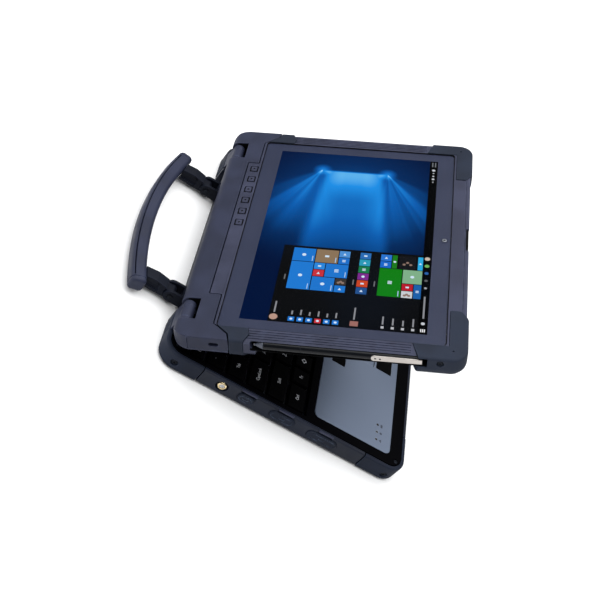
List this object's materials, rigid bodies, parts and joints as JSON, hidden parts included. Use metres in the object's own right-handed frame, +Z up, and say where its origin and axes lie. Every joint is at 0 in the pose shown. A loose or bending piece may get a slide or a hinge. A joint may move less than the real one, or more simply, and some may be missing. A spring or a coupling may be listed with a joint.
{
  "type": "rugged tablet data collector with keyboard dock",
  "caption": "Rugged field tablet held screen-out in a hinged keyboard dock with corner bumpers, side stylus, covered ports and a fold-out carrying handle.",
  "frame": {"origin": "centre of the base's width on its flat underside, 122 mm behind the front edge", "axes": "+X to the user's right, +Y back to the hinge and handle, +Z up"},
  "size_m": [0.2683, 0.2659, 0.1455],
  "materials": {
    "casing": "fine-textured moulded plastic, dark blue-grey",
    "trim": "satin moulded plastic, slightly lighter blue-grey",
    "rubber": "moulded rubber, dark teal grey",
    "deck": "smooth black plastic",
    "keys": "satin black keycaps",
    "palm": "fine satin blue-silver",
    "cover_glass": "polished, clear over the display",
    "display": "lit display with a plain blue picture",
    "steel": "brushed",
    "gold": "gold plated",
    "board": "green circuit board",
    "battery": "wrapped cell pack",
    "pen": "polished black"
  },
  "bodies": {
    "base": {"base_bottom_cover": "trim", "base_deck": "deck", "antenna_connector": "gold", "base_bumper_front_left": "rubber", "base_bumper_front_right": "rubber", "base_bumper_rear_left": "rubber", "base_bumper_rear_right": "rubber", "front_foot": "rubber", "rear_foot": "rubber", "keyboard_backplate": "steel", "palm_rest": "palm", "touchpad": "palm", "base_board": "board", "base_battery": "battery", "hinge_mount_left": "casing", "hinge_mount_right": "casing", "hinge_pin_left": "steel", "hinge_pin_right": "steel", "handle_mount_left": "casing", "handle_mount_right": "casing", "handle_pin_left": "steel", "handle_pin_right": "steel"},
    "handle": {"handle_grip": "casing", "handle_arm_left": "casing", "handle_arm_right": "casing"},
    "dock": {"dock_upper_shell": "casing", "dock_lower_shell": "casing", "dock_connector": "gold"},
    "tablet": {"tablet_front_frame": "trim", "tablet_back_cover": "casing", "cover_glass": "cover_glass", "webcam_lens": "cover_glass", "display_panel": "display", "tablet_board": "board", "tablet_battery": "battery", "tablet_bumper_top_left": "rubber", "tablet_bumper_top_right": "rubber", "tablet_bumper_dock_left": "rubber", "tablet_bumper_dock_right": "rubber"},
    "stylus": {"stylus": "pen"},
    "latch": {"dock_latch": "rubber"},
    "key_row_space_left": {"key_row_space_left": "keys"},
    "space_bar": {"space_bar": "keys"},
    "key_row_space_right": {"key_row_space_right": "keys"},
    "key_row_shift": {"key_row_shift": "keys"},
    "key_row_home": {"key_row_home": "keys"},
    "key_row_tab": {"key_row_tab": "keys"},
    "key_row_number": {"key_row_number": "keys"},
    "key_row_function": {"key_row_function": "keys"},
    "touchpad_button_rear": {"touchpad_button_rear": "keys"},
    "touchpad_button_front": {"touchpad_button_front": "keys"},
    "function_button_1": {"function_button_1": "trim"},
    "function_button_2": {"function_button_2": "trim"},
    "function_button_3": {"function_button_3": "trim"},
    "function_button_4": {"function_button_4": "trim"},
    "function_button_5": {"function_button_5": "trim"},
    "function_button_6": {"function_button_6": "trim"},
    "port_cover_rear": {"port_cover_rear": "rubber"},
    "port_cover_middle": {"port_cover_middle": "rubber"},
    "port_cover_front": {"port_cover_front": "rubber"}
  },
  "joints": [
    {"name": "lid_hinge", "type": "hinge", "parent": "base", "child": "dock", "pos_m": [0, 0.08645, 0.0276], "axis": [-1, 0, 0], "range_deg": [-33, 102]},
    {"name": "tablet_undock", "type": "slide", "parent": "dock", "child": "tablet", "axis": [0, -0.8387, 0.5446], "range_m": [0, 0.05]},
    {"name": "dock_latch_slide", "type": "slide", "parent": "dock", "child": "latch", "axis": [-1, 0, 0], "range_m": [0, 0.005], "stiffness_N_per_m": 200, "springref_m": -0.002},
    {"name": "stylus_out", "type": "slide", "parent": "tablet", "child": "stylus", "axis": [-1, 0, 0], "range_m": [0, 0.03]},
    {"name": "handle_fold", "type": "hinge", "parent": "base", "child": "handle", "pos_m": [0, 0.0984, 0.008], "axis": [-1, 0, 0], "range_deg": [-75, 20]},
    {"name": "function_button_1_press", "type": "slide", "parent": "tablet", "child": "function_button_1", "axis": [0, -0.5446, -0.8387], "range_m": [0, 0.0007], "stiffness_N_per_m": 500, "springref_m": -0.001},
    {"name": "function_button_2_press", "type": "slide", "parent": "tablet", "child": "function_button_2", "axis": [0, -0.5446, -0.8387], "range_m": [0, 0.0007], "stiffness_N_per_m": 500, "springref_m": -0.001},
    {"name": "function_button_3_press", "type": "slide", "parent": "tablet", "child": "function_button_3", "axis": [0, -0.5446, -0.8387], "range_m": [0, 0.0007], "stiffness_N_per_m": 500, "springref_m": -0.001},
    {"name": "function_button_4_press", "type": "slide", "parent": "tablet", "child": "function_button_4", "axis": [0, -0.5446, -0.8387], "range_m": [0, 0.0007], "stiffness_N_per_m": 500, "springref_m": -0.001},
    {"name": "function_button_5_press", "type": "slide", "parent": "tablet", "child": "function_button_5", "axis": [0, -0.5446, -0.8387], "range_m": [0, 0.0007], "stiffness_N_per_m": 500, "springref_m": -0.001},
    {"name": "function_button_6_press", "type": "slide", "parent": "tablet", "child": "function_button_6", "axis": [0, -0.5446, -0.8387], "range_m": [0, 0.0007], "stiffness_N_per_m": 500, "springref_m": -0.001},
    {"name": "key_row_space_left_press", "type": "slide", "parent": "base", "child": "key_row_space_left", "axis": [0, 0, -1], "range_m": [0, 0.0015], "stiffness_N_per_m": 400, "springref_m": -0.0015},
    {"name": "space_bar_press", "type": "slide", "parent": "base", "child": "space_bar", "axis": [0, 0, -1], "range_m": [0, 0.0015], "stiffness_N_per_m": 400, "springref_m": -0.0015},
    {"name": "key_row_space_right_press", "type": "slide", "parent": "base", "child": "key_row_space_right", "axis": [0, 0, -1], "range_m": [0, 0.0015], "stiffness_N_per_m": 400, "springref_m": -0.0015},
    {"name": "key_row_shift_press", "type": "slide", "parent": "base", "child": "key_row_shift", "axis": [0, 0, -1], "range_m": [0, 0.0015], "stiffness_N_per_m": 400, "springref_m": -0.0015},
    {"name": "key_row_home_press", "type": "slide", "parent": "base", "child": "key_row_home", "axis": [0, 0, -1], "range_m": [0, 0.0015], "stiffness_N_per_m": 400, "springref_m": -0.0015},
    {"name": "key_row_tab_press", "type": "slide", "parent": "base", "child": "key_row_tab", "axis": [0, 0, -1], "range_m": [0, 0.0015], "stiffness_N_per_m": 400, "springref_m": -0.0015},
    {"name": "key_row_number_press", "type": "slide", "parent": "base", "child": "key_row_number", "axis": [0, 0, -1], "range_m": [0, 0.0015], "stiffness_N_per_m": 400, "springref_m": -0.0015},
    {"name": "key_row_function_press", "type": "slide", "parent": "base", "child": "key_row_function", "axis": [0, 0, -1], "range_m": [0, 0.0015], "stiffness_N_per_m": 400, "springref_m": -0.0015},
    {"name": "touchpad_button_rear_press", "type": "slide", "parent": "base", "child": "touchpad_button_rear", "axis": [0, 0, -1], "range_m": [0, 0.0006], "stiffness_N_per_m": 600, "springref_m": -0.001},
    {"name": "touchpad_button_front_press", "type": "slide", "parent": "base", "child": "touchpad_button_front", "axis": [0, 0, -1], "range_m": [0, 0.0006], "stiffness_N_per_m": 600, "springref_m": -0.001},
    {"name": "port_cover_rear_swing", "type": "hinge", "parent": "base", "child": "port_cover_rear", "pos_m": [-0.1343, 0.0253, 0.008], "axis": [0, 0, -1], "range_deg": [0, 110]},
    {"name": "port_cover_middle_swing", "type": "hinge", "parent": "base", "child": "port_cover_middle", "pos_m": [-0.1343, -0.0029, 0.008], "axis": [0, 0, -1], "range_deg": [0, 110]},
    {"name": "port_cover_front_swing", "type": "hinge", "parent": "base", "child": "port_cover_front", "pos_m": [-0.1343, -0.0365, 0.008], "axis": [0, 0, -1], "range_deg": [0, 110]}
  ]
}
